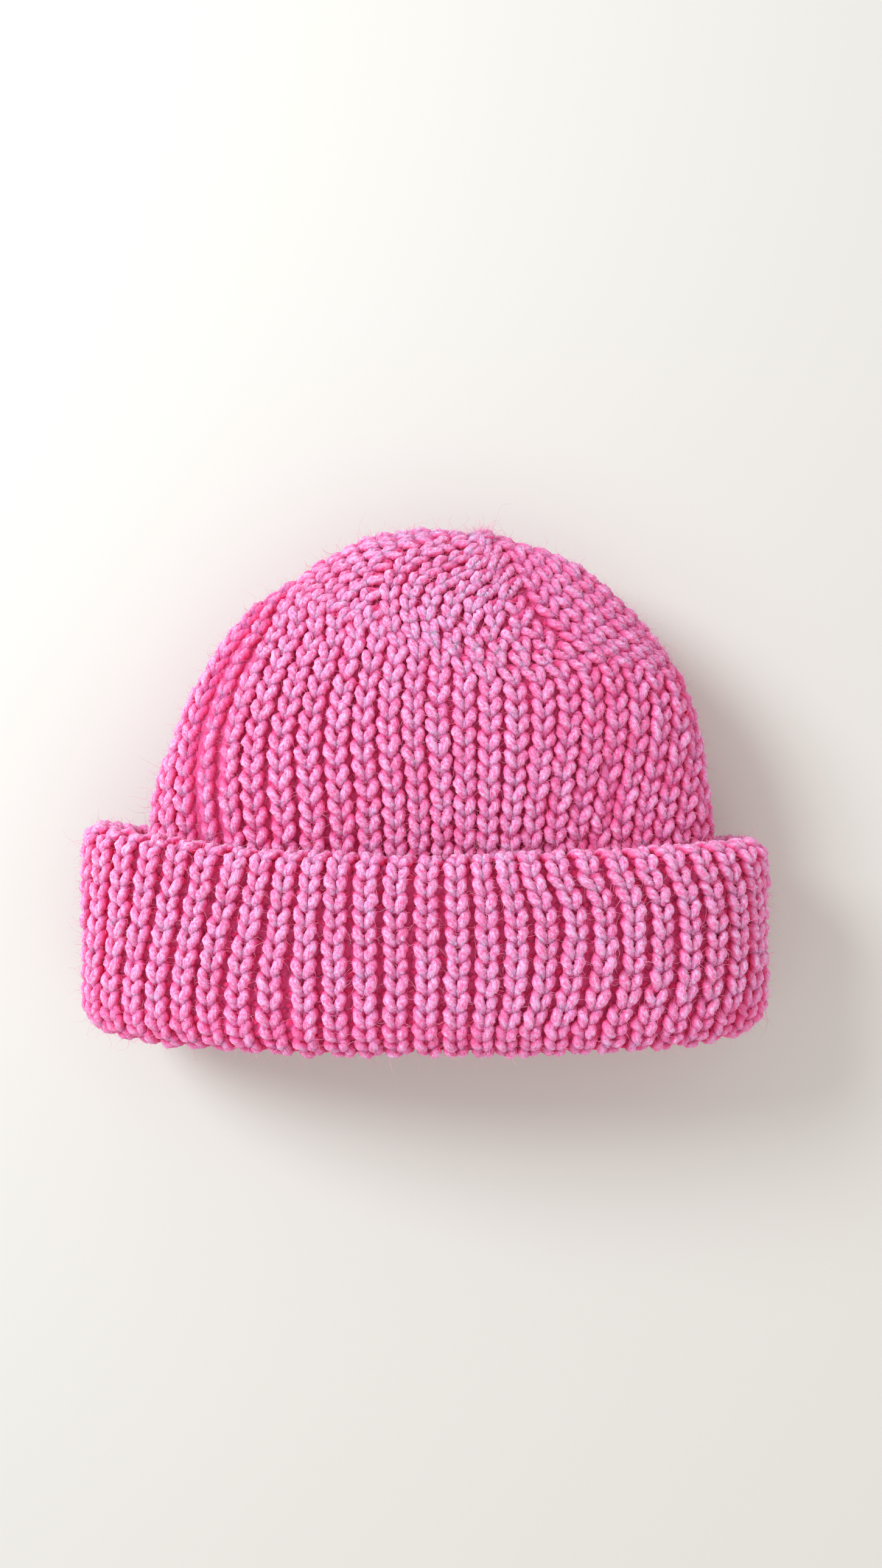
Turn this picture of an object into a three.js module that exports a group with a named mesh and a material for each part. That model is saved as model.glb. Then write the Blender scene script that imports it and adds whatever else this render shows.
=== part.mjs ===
// A knitted watch cap in thick yarn, lying on its side on a flat surface.
// Millimetres. +X runs across the hat, +Y from the opening to the crown, +Z up from the surface it lies on.
// The origin is under the middle of the hat, on that surface.
//
// The cap is one continuous ribbed fabric. It is followed here from its first row to its last:
// cast-on edge, outer layer, top fold, tucked layer, bottom fold, inner layer, body, crown, gathered tip.
// The brim is a double hem that is turned up, so its own fold is the top edge and its first row is
// curled under at the bottom. Each stretch is a solid of its own, one fabric thickness deep.
import * as THREE from "three";
import { mergeVertices } from "three/addons/utils/BufferGeometryUtils.js";

// Driving dimensions of the hat
const WIDTH = 226;
const LENGTH = 173;
const THICKNESS = 70;

// The fabric
const FABRIC = 5.6;
const LAYER_STEP = 7.2;
const GAP = 0.3;
const RIBS = 54;

// The brim: how high it stands, how its two edges bow between the middle and the sides, how far the
// opening's upper lip lies behind the lower one, how far the first row curls under (radians), and how
// far the inner fold stays behind the outer one (share of height)
const BRIM_HEIGHT = 67;
const BRIM_BOTTOM_BOW = 7;
const UPPER_LIP_SETBACK = 6.5;
const BRIM_TOP_BOW_LEFT = 10;
const BRIM_TOP_BOW_RIGHT = 5;
const CURL_ANGLE = 1.3;
const INNER_RAISE = 0.075;

// The cross-section: where the ridge line runs, how high the widest points are, and how square the
// upper and lower quarters are
const RIDGE = 24;
const LEFT_MIDDLE = 30;
const RIGHT_MIDDLE = 33;
const TOP_SQUARENESS = 2.15;
const BOTTOM_SQUARENESS = 3;

// The body inside the brim
const BODY_LEFT = -88;
const BODY_RIGHT = 93;
const BODY_TOP = 52.5;
const BODY_BOTTOM = 17;

// The crown: where its tip is, how far the fabric swirls round it, how much the upper side takes
// from the lower one, and its decrease lines
const DOME_START = 66;
const POLE_X = 2;
const POLE_Z = 31;
const TIP_SHIFT = [-0.02, 0.12];
const SWIRL = 0.05;
const SWIRL_START = 0.55;
const SPREAD = 0.3;
const WEDGES = 6;
const FIRST_LINE = 0.5;
const CROWN_START = 0.56;
const GATHER_START = 0.88;
const GATHER_END = 0.95;
const DRAWN_YARN = 2.6;
const DRAWN_RING = 2.2;

const brimEdge = -LENGTH / 2;
const foldReach = LAYER_STEP + FABRIC / 2;
const domeLength = LENGTH - DOME_START - FABRIC / 2;

const signedPower = (value, power) => Math.sign(value) * Math.abs(value) ** power;
const mix = (a, b, t) => a + (b - a) * t;
const smooth = (t) => {
  const u = Math.min(Math.max(t, 0), 1);
  return u * u * (3 - 2 * u);
};

// A cross-section is four quarter superellipses that meet under and over the ridge line.
function sectionPoint(shape, angle) {
  const across = Math.cos(angle);
  const up = Math.sin(angle);
  const reach = across >= 0 ? shape.right - shape.ridge : shape.ridge - shape.left;
  const middle = across >= 0 ? shape.rightMiddle : shape.leftMiddle;
  const rise = up >= 0 ? shape.top - middle : middle - shape.bottom;
  const power = 2 / (up >= 0 ? TOP_SQUARENESS : BOTTOM_SQUARENESS);
  return [shape.ridge + signedPower(across, power) * reach, middle + signedPower(up, power) * rise];
}

// Points at equal steps along one half of a cross-section.
function evenHalf(shape, from, to, count) {
  const fine = 240;
  const points = [];
  const lengths = [0];
  for (let i = 0; i <= fine; i += 1) {
    points.push(sectionPoint(shape, mix(from, to, i / fine)));
    if (i > 0) {
      const step = Math.hypot(points[i][0] - points[i - 1][0], points[i][1] - points[i - 1][1]);
      lengths.push(lengths[i - 1] + step);
    }
  }
  const even = [];
  let i = 1;
  for (let n = 0; n < count; n += 1) {
    const wanted = (lengths[fine] * n) / count;
    while (i < fine && lengths[i] < wanted) {
      i += 1;
    }
    const t = (wanted - lengths[i - 1]) / (lengths[i] - lengths[i - 1] || 1);
    even.push([mix(points[i - 1][0], points[i][0], t), mix(points[i - 1][1], points[i][1], t)]);
  }
  return even;
}

// A ring of the fabric, with a fixed share of its ribs on each side of the ridge.
const RIGHT_RIBS = 22;
const STEPS_PER_RIB = 2;
const AROUND = RIBS * STEPS_PER_RIB;
function ring(shape) {
  const right = evenHalf(shape, -Math.PI / 2, Math.PI / 2, RIGHT_RIBS * STEPS_PER_RIB);
  const left = evenHalf(shape, Math.PI / 2, (3 * Math.PI) / 2, (RIBS - RIGHT_RIBS) * STEPS_PER_RIB);
  return [...right, ...left];
}

function ringPoint(points, turn) {
  const place = (((turn % 1) + 1) % 1) * AROUND;
  const i = Math.floor(place) % AROUND;
  const j = (i + 1) % AROUND;
  const t = place - Math.floor(place);
  return [mix(points[i][0], points[j][0], t), mix(points[i][1], points[j][1], t)];
}

// The brim's three layers, from the body's own layer out to the one that shows.
const brimRings = [0, 1, 2].map((layer) => {
  const inset = FABRIC / 2 + (2 - layer) * LAYER_STEP;
  return ring({
    left: inset - WIDTH / 2,
    right: WIDTH / 2 - inset,
    ridge: RIDGE,
    top: THICKNESS - inset,
    bottom: inset,
    leftMiddle: LEFT_MIDDLE,
    rightMiddle: RIGHT_MIDDLE,
  });
});

// The dome of the body from the brim's top edge (level 0) to its furthest point (level 1).
function domeShape(level) {
  const leftReach = (1 - level ** 1.8) ** (1 / 2);
  const rightReach = (1 - level ** 2.3) ** (1 / 2.25);
  const topReach = (1 - level ** 2.3) ** 0.5;
  const bottomReach = (1 - level ** 3) ** (1 / 2.2);
  const top = BODY_TOP + 4 * Math.sin(Math.PI * level ** 0.8);
  const bottom = mix(BODY_BOTTOM, FABRIC / 2 + 0.4, smooth(level / 0.4));
  return {
    left: mix(POLE_X, BODY_LEFT, leftReach),
    right: mix(POLE_X, BODY_RIGHT, rightReach),
    ridge: mix(POLE_X, RIDGE, topReach),
    top: mix(POLE_Z, top, topReach),
    bottom: mix(POLE_Z, bottom, bottomReach),
    leftMiddle: mix(POLE_Z, LEFT_MIDDLE - 1, topReach),
    rightMiddle: mix(POLE_Z, RIGHT_MIDDLE + 1, topReach),
  };
}

const DOME_LEVELS = 96;
const domeRings = [];
for (let i = 0; i <= DOME_LEVELS; i += 1) {
  domeRings.push(ring(domeShape(Math.cos(((i / DOME_LEVELS) * Math.PI) / 2))));
}

function domePoint(turn, reach) {
  const place = Math.min(reach, 1) * DOME_LEVELS;
  const i = Math.min(Math.floor(place), DOME_LEVELS - 1);
  const near = ringPoint(domeRings[i], turn);
  const far = ringPoint(domeRings[i + 1], turn);
  const t = place - i;
  const y = brimEdge + DOME_START + domeLength * Math.cos((Math.min(reach, 1) * Math.PI) / 2);
  return new THREE.Vector3(mix(near[0], far[0], t), y, mix(near[1], far[1], t));
}

// The fabric's own tip sits off the dome's furthest point. Its columns swirl round it, and those of the
// wedge on top lie further apart than those underneath.
function fabricOnDome(turn, reach) {
  const swirl = SWIRL * Math.sin(Math.PI * Math.max(0, 1 - reach / SWIRL_START));
  const fromFront = 2 * Math.PI * (turn - FIRST_LINE + 0.5 / WEDGES);
  const spread = (SPREAD * smooth(1.9 * (1 - reach)) * Math.sin(fromFront)) / (2 * Math.PI);
  const angle = 2 * Math.PI * (turn + swirl + spread);
  const pull = (1 - reach * reach) ** 2;
  const x = reach * Math.cos(angle) + pull * TIP_SHIFT[0];
  const y = reach * Math.sin(angle) + pull * TIP_SHIFT[1];
  return domePoint(Math.atan2(y, x) / (2 * Math.PI), Math.hypot(x, y));
}

// Each column has the same number of rows from the brim to the tip, evenly spaced along it.
const COLUMN_STEPS = 80;
const columns = new Map();
function column(turn) {
  const key = turn.toFixed(5);
  if (!columns.has(key)) {
    const points = [];
    const lengths = [0];
    for (let i = 0; i <= COLUMN_STEPS; i += 1) {
      points.push(fabricOnDome(turn, 1 - i / COLUMN_STEPS));
      if (i > 0) {
        lengths.push(lengths[i - 1] + points[i].distanceTo(points[i - 1]));
      }
    }
    columns.set(key, { points, lengths });
  }
  return columns.get(key);
}

function bodyPoint(turn, share) {
  const { points, lengths } = column(turn);
  const wanted = share * lengths[COLUMN_STEPS];
  let i = 1;
  while (i < COLUMN_STEPS && lengths[i] < wanted) {
    i += 1;
  }
  const t = (wanted - lengths[i - 1]) / (lengths[i] - lengths[i - 1]);
  return points[i - 1].clone().lerp(points[i], t);
}

// The turned-up brim. layer 0 is the body's own layer, 1 the tucked one and 2 the outer one.
function brimPoint(turn, layer, height) {
  const lower = Math.min(Math.floor(layer), 1);
  const inner = ringPoint(brimRings[lower], turn);
  const outer = ringPoint(brimRings[lower + 1], turn);
  const x = mix(inner[0], outer[0], layer - lower);
  const z = mix(inner[1], outer[1], layer - lower);
  const side = Math.abs((2 * x) / WIDTH) ** 2.4;
  const setback = UPPER_LIP_SETBACK * (z / THICKNESS) ** 1.5;
  const bottom = brimEdge + foldReach + BRIM_BOTTOM_BOW * side + setback;
  const bow = x < 0 ? BRIM_TOP_BOW_LEFT : BRIM_TOP_BOW_RIGHT;
  const top = brimEdge + BRIM_HEIGHT - LAYER_STEP / 2 - FABRIC / 2 + bow * side;
  return new THREE.Vector3(x, mix(bottom, top, height), z);
}

// The whole fabric as one path of stations, first row to last.
const CAST_ON = 0;
const OUTER = 1;
const TOP_FOLD = 2;
const TUCKED = 3;
const BOTTOM_FOLD = 4;
const INNER = 5;
const BODY = 6;
function fabricPoint(turn, station) {
  const part = Math.min(Math.max(Math.floor(station), CAST_ON), BODY);
  const t = station - part;
  if (part === CAST_ON) {
    const angle = mix(CURL_ANGLE, 0, t);
    const point = brimPoint(turn, 1 + Math.cos(angle), 0);
    point.y -= LAYER_STEP * Math.sin(angle);
    return point;
  }
  if (part === OUTER) {
    return brimPoint(turn, 2, t);
  }
  if (part === TOP_FOLD) {
    const point = brimPoint(turn, 1.5 + 0.5 * Math.cos(Math.PI * t), 1);
    point.y += (LAYER_STEP / 2) * Math.sin(Math.PI * t);
    return point;
  }
  if (part === TUCKED) {
    return brimPoint(turn, 1, mix(1, INNER_RAISE, t));
  }
  if (part === BOTTOM_FOLD) {
    const point = brimPoint(turn, 0.5 + 0.5 * Math.cos(Math.PI * t), INNER_RAISE);
    point.y -= (LAYER_STEP / 2) * Math.sin(Math.PI * t);
    return point;
  }
  if (part === INNER) {
    const start = brimPoint(turn, 0, INNER_RAISE);
    const end = bodyPoint(turn, 0);
    const point = start.clone().lerp(end, smooth(t));
    point.y = mix(start.y, end.y, t);
    return point;
  }
  return bodyPoint(turn, t);
}

// The fabric's outward normal, from its neighbours along and across.
function fabricNormal(turn, station) {
  const alongFrom = fabricPoint(turn, Math.max(station - 0.01, 0));
  const alongTo = fabricPoint(turn, Math.min(station + 0.01, BODY + 0.99));
  const acrossFrom = fabricPoint(turn - 0.004, station);
  const acrossTo = fabricPoint(turn + 0.004, station);
  const along = alongTo.sub(alongFrom);
  const across = acrossTo.sub(acrossFrom);
  return along.cross(across).normalize();
}

// How sharply the fabric's normals spread between two places on it, per millimetre.
function spreadOfNormals([turnFrom, stationFrom], [turnTo, stationTo]) {
  const step = fabricPoint(turnTo, stationTo).sub(fabricPoint(turnFrom, stationFrom));
  const change = fabricNormal(turnTo, stationTo).sub(fabricNormal(turnFrom, stationFrom));
  return change.dot(step) / step.lengthSq();
}

// The fabric is squeezed thinner on the inside of a bend that is tighter than its own thickness.
const BEND_ROOM = 0.8;
function halfThicknesses(turn, station, thickness) {
  const bends = [
    spreadOfNormals([turn - 0.006, station], [turn + 0.006, station]),
    spreadOfNormals([turn, station - 0.03], [turn, Math.min(station + 0.03, BODY + 0.97)]),
  ];
  return [1, -1].map((side) => {
    const tightest = Math.max(1e-6, ...bends.map((bend) => -side * bend));
    return side * Math.min(thickness / 2, BEND_ROOM / tightest);
  });
}

// A closed slab of fabric between two stations and two turns, or all the way round.
function slab({ from, to, rows, turnFrom = 0, turnTo = 1, columnsAcross = RIBS, thickness = FABRIC }) {
  const whole = turnTo - turnFrom >= 1;
  const across = whole ? columnsAcross : columnsAcross + 1;
  const sides = [[], []];
  for (let r = 0; r <= rows; r += 1) {
    const station = mix(from, to, r / rows);
    for (let c = 0; c < across; c += 1) {
      const turn = mix(turnFrom, turnTo, c / columnsAcross);
      const middle = fabricPoint(turn, station);
      const normal = fabricNormal(turn, station);
      for (const [side, half] of halfThicknesses(turn, station, thickness).entries()) {
        const point = middle.clone().addScaledVector(normal, half);
        point.z = Math.max(point.z, 0);
        sides[side].push(point);
      }
    }
  }
  const positions = [...sides[0], ...sides[1]].flatMap((point) => point.toArray());
  const inside = sides[0].length;
  const at = (side, r, c) => side * inside + r * across + (c % across);
  const index = [];
  const quad = (a, b, c, d) => index.push(a, b, c, a, c, d);
  const stretches = columnsAcross;
  for (let r = 0; r < rows; r += 1) {
    for (let c = 0; c < stretches; c += 1) {
      quad(at(0, r, c), at(0, r + 1, c), at(0, r + 1, c + 1), at(0, r, c + 1));
      quad(at(1, r, c), at(1, r, c + 1), at(1, r + 1, c + 1), at(1, r + 1, c));
    }
    if (!whole) {
      quad(at(0, r, 0), at(1, r, 0), at(1, r + 1, 0), at(0, r + 1, 0));
      quad(at(0, r, stretches), at(0, r + 1, stretches), at(1, r + 1, stretches), at(1, r, stretches));
    }
  }
  for (let c = 0; c < stretches; c += 1) {
    quad(at(0, 0, c), at(0, 0, c + 1), at(1, 0, c + 1), at(1, 0, c));
    quad(at(0, rows, c), at(1, rows, c), at(1, rows, c + 1), at(0, rows, c + 1));
  }
  const geometry = new THREE.BufferGeometry();
  geometry.setAttribute("position", new THREE.Float32BufferAttribute(positions, 3));
  geometry.setIndex(index);
  return mergeVertices(geometry, 1e-4);
}

// Station lengths, so that each piece stops half a gap short of the next.
function stationGap(part) {
  const from = fabricPoint(0.4, part + 0.3);
  const to = fabricPoint(0.4, part + 0.4);
  return ((GAP / 2) * 0.1) / from.distanceTo(to);
}

const wool = new THREE.MeshStandardMaterial({ color: 0xe67fbc, roughness: 0.95, metalness: 0 });
const shadedWool = new THREE.MeshStandardMaterial({ color: 0xd86a9f, roughness: 0.95, metalness: 0 });

const hat = new THREE.Group();
function addPiece(name, geometry, material = wool) {
  geometry.computeVertexNormals();
  const piece = new THREE.Mesh(geometry, material);
  piece.name = name;
  hat.add(piece);
}

function addBand(name, part, rows, start = 0, end = 1) {
  const trim = stationGap(part);
  addPiece(name, slab({ from: part + start + trim, to: part + end - trim, rows }));
}

addBand("cast_on_edge", CAST_ON, 4);
addBand("brim_outer_layer", OUTER, 3);
addBand("brim_top_fold", TOP_FOLD, 6);
addBand("brim_tucked_layer", TUCKED, 2);
addBand("brim_bottom_fold", BOTTOM_FOLD, 6);
addBand("brim_inner_layer", INNER, 3);
addBand("hat_body", BODY, 7, 0, CROWN_START);

// The crown's wedges meet on the decrease lines.
const wedgeTrim = 0.0012;
const crownTrim = stationGap(BODY);
for (let wedge = 0; wedge < WEDGES; wedge += 1) {
  const geometry = slab({
    from: BODY + CROWN_START + crownTrim,
    to: BODY + GATHER_START - crownTrim,
    rows: 6,
    turnFrom: FIRST_LINE + wedge / WEDGES + wedgeTrim,
    turnTo: FIRST_LINE + (wedge + 1) / WEDGES - wedgeTrim,
    columnsAcross: 6,
  });
  addPiece(`crown_wedge_${wedge + 1}`, geometry);
}

// The last stitches, gathered to a small round hole, and the yarn that draws them shut.
addPiece(
  "crown_gather",
  slab({ from: BODY + GATHER_START + crownTrim, to: BODY + GATHER_END, rows: 2, columnsAcross: 24 }),
);
const drawnYarn = new THREE.TorusGeometry(DRAWN_RING, DRAWN_YARN / 2, 8, 16);
drawnYarn.deleteAttribute("normal");
drawnYarn.deleteAttribute("uv");
const outward = new THREE.Vector3();
for (let i = 0; i < 8; i += 1) {
  outward.add(fabricNormal(i / 8, BODY + GATHER_END));
}
drawnYarn.applyQuaternion(
  new THREE.Quaternion().setFromUnitVectors(new THREE.Vector3(0, 0, 1), outward.normalize()),
);
const tip = bodyPoint(0, 1);
drawnYarn.translate(tip.x, tip.y, tip.z);
addPiece("draw_in_yarn", mergeVertices(drawnYarn, 1e-4), shadedWool);

// The origin is exactly under the middle of the hat.
const box = new THREE.Box3().setFromObject(hat);
const centre = box.getCenter(new THREE.Vector3());
hat.position.set(-centre.x, -centre.y, -box.min.z);

export default hat;
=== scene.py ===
"""A hand-knitted pink watch cap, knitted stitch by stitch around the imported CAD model.

The fabric's middle surface follows the CAD design: cast-on edge, outer layer, top fold, tucked
layer, bottom fold, inner layer, body, crown. Every row of stitches is one yarn laid on it, with
three plies wherever it can be seen.
Lengths are millimetres until a mesh is made.
"""
import math

import bpy
import numpy as np
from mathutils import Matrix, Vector


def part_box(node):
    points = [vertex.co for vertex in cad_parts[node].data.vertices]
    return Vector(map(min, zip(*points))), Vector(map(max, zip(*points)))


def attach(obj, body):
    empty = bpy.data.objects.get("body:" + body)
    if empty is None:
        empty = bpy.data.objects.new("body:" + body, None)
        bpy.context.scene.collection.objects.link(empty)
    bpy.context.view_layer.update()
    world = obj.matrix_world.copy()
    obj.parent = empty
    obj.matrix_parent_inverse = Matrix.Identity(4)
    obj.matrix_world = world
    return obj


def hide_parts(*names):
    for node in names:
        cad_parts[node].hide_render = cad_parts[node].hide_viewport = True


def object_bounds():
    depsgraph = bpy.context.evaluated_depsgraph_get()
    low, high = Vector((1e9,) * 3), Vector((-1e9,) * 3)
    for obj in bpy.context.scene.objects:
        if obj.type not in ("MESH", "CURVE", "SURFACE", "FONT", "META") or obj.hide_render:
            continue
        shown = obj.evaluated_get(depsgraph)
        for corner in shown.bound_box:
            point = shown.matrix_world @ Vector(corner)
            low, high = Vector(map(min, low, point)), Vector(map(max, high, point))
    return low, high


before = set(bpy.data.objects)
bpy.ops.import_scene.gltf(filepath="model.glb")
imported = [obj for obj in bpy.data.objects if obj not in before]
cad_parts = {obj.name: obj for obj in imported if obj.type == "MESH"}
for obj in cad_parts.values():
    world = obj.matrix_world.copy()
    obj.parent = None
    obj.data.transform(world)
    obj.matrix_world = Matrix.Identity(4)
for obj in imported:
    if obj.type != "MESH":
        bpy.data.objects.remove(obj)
cad_low, cad_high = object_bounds()

MM = 0.001
FULL_TURN = 2 * math.pi
rng = np.random.default_rng(7)

# The hat's size, from the CAD model
CAD_SIZE = (cad_high - cad_low) / MM
WIDTH, LENGTH, THICKNESS = CAD_SIZE
BRIM_EDGE = cad_low.y / MM

# The CAD design's own numbers
FABRIC = 5.6
LAYER_STEP = 7.2
RIBS = 54
RIGHT_RIBS = 22
BRIM_HEIGHT = 67
BRIM_BOTTOM_BOW = 7
UPPER_LIP_SETBACK = 6.5
BRIM_TOP_BOW = (10, 5)
CURL_ANGLE = 1.3
INNER_RAISE = 0.075
RIDGE = 24
MIDDLES = (30, 33)
TOP_SQUARENESS = 2.15
BOTTOM_SQUARENESS = 3
BODY_SIDES = (-88, 93)
BODY_TOP = 52.5
BODY_BOTTOM = 17
DOME_START = 66
POLE_X = 2
POLE_Z = 31
TIP_SHIFT = (-0.02, 0.12)
SWIRL = 0.05
SWIRL_START = 0.55
SPREAD = 0.3
WEDGES = 6
FIRST_LINE = 0.5

# The knitting
CREST = 3.4  # how far a rib's crest stands from the middle of the fabric
FEWEST_ROWS = 21  # rows from the brim's top edge to the tip, along the shortest column
MOST_ROWS = 29  # and along the longest, on the left
COLUMN = 6.2  # from one column to the next in the crown
BRIM_ROWS = {
    "cast_on_edge": 3,
    "brim_outer_layer": 9,
    "brim_top_fold": 4,
    "brim_tucked_layer": 10,
    "brim_bottom_fold": 4,
    "brim_inner_layer": 10,
}
BITES = (0.65, 0.25, 0.25, 0.25, 0.4, 0.6)  # the gap, in columns, along each wedge's right line
EDGE_ROWS = 4  # the first rows, along the brim's bottom edge, are squashed flatter
CROWN_ROWS = 11
GATHER_ROWS = 2

# A deep valley runs up the left of the body, where two ribs are pulled apart
GROOVE_X = -64
GROOVE_Y = 38
GROOVE_DEPTHS = (2.4, 1.2)  # the valley itself, and a shallower one beside it
GROOVE_REACH = 0.006  # how far the valley reaches to each side, as a share of a full turn
GROOVE_PULL = 0.0022  # how far the ribs beside it are pulled away, and
GROOVE_PULL_REACH = 0.012  # how far from it they still are, also as shares of a full turn

# Ribs lean towards the middle as they go up: shares of a full turn
BRIM_LEAN_LEFT = 0.018
BRIM_LEAN_RIGHT = 0.011
BODY_LEAN_LEFT = 0.019

# Where on the hat something holds: first turn, last turn, and how softly it begins and ends.
# The turn is 0 below the ridge, about 0.2 at the right edge, 0.41 on the ridge and 0.7 at the left.
BODY_RIGHT = (0.1, 0.375, 0.05)
CROWN_FRONT = (0.35, 0.49, 0.04)
BRIM_LEANS_LEFT = (0.54, 0.73, 0.1)
BRIM_LEANS_RIGHT = (0.2, 0.4, 0.08)
BODY_LEANS_LEFT = (0.55, 0.76, 0.12)

# The loops, and how unevenly they are knitted
LEG_STEPS = 0.045  # how much closer together the points on a loop's legs are than on its ends
THIN_END = 0.88  # the yarn's thickness at a loop's ends, as a share
FULL_LEG = 0.18  # and how much more it is on its legs
DRIFT = 0.035  # sideways, in columns
LIFT = 0.08  # up and down, in rows
PROUD = 0.22  # in and out
ONE_LEG = 0.28  # one leg out and the other in
PLUMP = 0.06  # thicker and thinner, as a share
WANDER = 0.5  # the whole fabric, in any direction
WANDER_LENGTHS = (45, 110)  # its shortest and longest wave

# The yarn: three plies with an S twist, each with four corners; the sunk one is the groove between
PLY_TURN = 6.6  # yarn length in which the plies go once round
PLIES = 3
PLY_SHAPE = (1.0, 0.97, 0.86, 0.97)
SIDES = PLIES * len(PLY_SHAPE)
LUMP = 0.16  # how uneven its thickness is, as a share
LUMP_LENGTHS = (2.3, 3.9, 6.1)
STREAK_RADIUS = 1.4  # the pattern of its fibres runs along it as on a round rod,
STREAK_TWIST = 0.25  # and turns slowly round it
TOP = 4.1  # how far the tops of the knit loops stand from the middle of the fabric
SIDE_SHADE = 0.5  # painted shade: a yarn's sides take the deeper colour of what lies below its crest
END_SHADE = 0.4  # and so do the ends of a loop, where it goes under the next one, as painted shade
FLOOR_GAP = 0.05  # no wool lies lower than this

# Detail: points along a knit loop and along a purl loop, and corners round the yarn
SEEN = (42, 16, SIDES)
TUCKED = (10, 10, 6)
BOTTOM_FOLD = (20, 20, 8)
INNER_LAYER = (18, 18, 8)
ROWS_EACH = 2  # rows in one piece

# The felted fibres that close the holes between stitches
MAT_THICKNESS = 0.8
MAT_WAVE = 0.6  # how far they follow the ribs in and out
MAT_LUMP = 0.25
MAT_RISE = 0.4  # how far outside the middle of the fabric they lie
MAT_SHADE = 0.3  # how high on the yarn's colours they are: low, in its painted shade

# Loose fibres
ROOT_SHARE = 0.23  # the share of the exposed corners of the yarn where one starts
TUFT_SHARE = 0.5  # and the same on the knot at the tip
EXPOSED = 0.42  # the crest value above which a corner is exposed
LOWEST_ROOT = 1.5  # none starts nearer to the floor
ROOT_DEPTH = 0.1  # how far inside the yarn a fibre starts
FIBRE_RADIUS = 0.06
FIBRE_TAPER = 0.75  # the share of its thickness that it loses towards its end
FIBRE_LENGTH = (2.0, 1.1)  # the shape and the scale of a gamma distribution
FIBRE_SPLAY = 0.75  # how far it leans away from standing straight up
FIBRE_CURL = (0.15, 0.5)  # the least and the most that it curls, as a share of its length
FIBRE_WAVES = (3.2, 2.6)  # how far its curl goes round in two directions, in radians
FIBRES_EACH = 6500  # fibres in one piece, at least

# The knot at the tip
KNOT_TURNS = 2.6
KNOT_STEPS = 110
KNOT_YARN = 1.25  # the radius of its yarn
KNOT_MIDDLE = 2.2  # how far below the yarn its colours start, at the deepest painted shade

# How finely the middle surface is sampled
STEPS_PER_RIB = 8
AROUND = RIBS * STEPS_PER_RIB
PER_ROW = 6  # samples from one row to the next
LEAD_ROWS = 1  # rows sampled ahead of the first one, for loops that reach back
MAT_STEP = PER_ROW // 2
TURN = np.arange(AROUND) / AROUND


def mix(a, b, t):
    """a where t is 0 and b where it is 1."""
    return a + (b - a) * t


def smooth(t):
    """Rises softly from 0 to 1 as t does, and stays there."""
    u = np.clip(t, 0, 1)
    return u * u * (3 - 2 * u)


# ---------------------------------------------------------------- the middle surface


def section(shape, angle):
    """A cross-section of four quarter superellipses that meet under and over the ridge line."""
    across, up = np.cos(angle), np.sin(angle)
    right = across >= 0
    reach = np.where(right, shape["right"] - shape["ridge"], shape["ridge"] - shape["left"])
    middle = np.where(right, shape["right_middle"], shape["left_middle"])
    rise = np.where(up >= 0, shape["top"] - middle, middle - shape["bottom"])
    power = np.where(up >= 0, 2 / TOP_SQUARENESS, 2 / BOTTOM_SQUARENESS)
    x = shape["ridge"] + np.sign(across) * np.abs(across) ** power * reach
    z = middle + np.sign(up) * np.abs(up) ** power * rise
    return x, z


def ring(shape):
    """A cross-section at even turns, with a fixed share of the ribs on each side of the ridge."""
    split = RIGHT_RIBS / RIBS
    points = np.empty((AROUND, 2))
    halves = (
        (-90, TURN < split, TURN / split),
        (90, TURN >= split, (TURN - split) / (1 - split)),
    )
    for start, here, share in halves:
        x, z = section(shape, np.radians(np.linspace(start, start + 180, 361)))
        length = np.concatenate([[0], np.cumsum(np.hypot(np.diff(x), np.diff(z)))])
        wanted = share[here] * length[-1]
        points[here] = np.stack([np.interp(wanted, length, x), np.interp(wanted, length, z)], 1)
    return points


def brim_ring(layer):
    """layer 0 is the body's own layer, 1 the tucked one and 2 the outer one."""
    inset = CREST + (2 - layer) * LAYER_STEP
    return ring({
        "left": inset - WIDTH / 2,
        "right": WIDTH / 2 - inset,
        "ridge": RIDGE,
        "top": THICKNESS - inset,
        "bottom": inset,
        "left_middle": MIDDLES[0],
        "right_middle": MIDDLES[1],
    })


def dome_ring(level):
    """The body's cross-section from the brim's top edge (level 0) to its furthest point (level 1)."""
    left_reach = (1 - level ** 1.8) ** (1 / 2)
    right_reach = (1 - level ** 2.3) ** (1 / 2.25)
    top_reach = (1 - level ** 2.3) ** 0.5
    bottom_reach = (1 - level ** 3) ** (1 / 2.2)
    top = BODY_TOP + 4 * math.sin(math.pi * level ** 0.8)
    bottom = mix(BODY_BOTTOM, FABRIC / 2 + 0.4, smooth(level / 0.4))
    return ring({
        "left": mix(POLE_X, BODY_SIDES[0], left_reach),
        "right": mix(POLE_X, BODY_SIDES[1], right_reach),
        "ridge": mix(POLE_X, RIDGE, top_reach),
        "top": mix(POLE_Z, top, top_reach),
        "bottom": mix(POLE_Z, bottom, bottom_reach),
        "left_middle": mix(POLE_Z, MIDDLES[0] - 1, top_reach),
        "right_middle": mix(POLE_Z, MIDDLES[1] + 1, top_reach),
    })


def look_up(table, place, turn):
    """Values between the samples of a table whose axes are an even place and the turn."""
    place = np.clip(place, 0, len(table) - 1.0001)
    i = np.floor(place).astype(int)
    u = (place - i)[..., None]
    spot = (turn % 1) * AROUND
    j = np.floor(spot).astype(int) % AROUND
    v = (spot - np.floor(spot))[..., None]
    k = (j + 1) % AROUND
    near = mix(table[i, j], table[i, k], v)
    far = mix(table[i + 1, j], table[i + 1, k], v)
    return mix(near, far, u)


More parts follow.
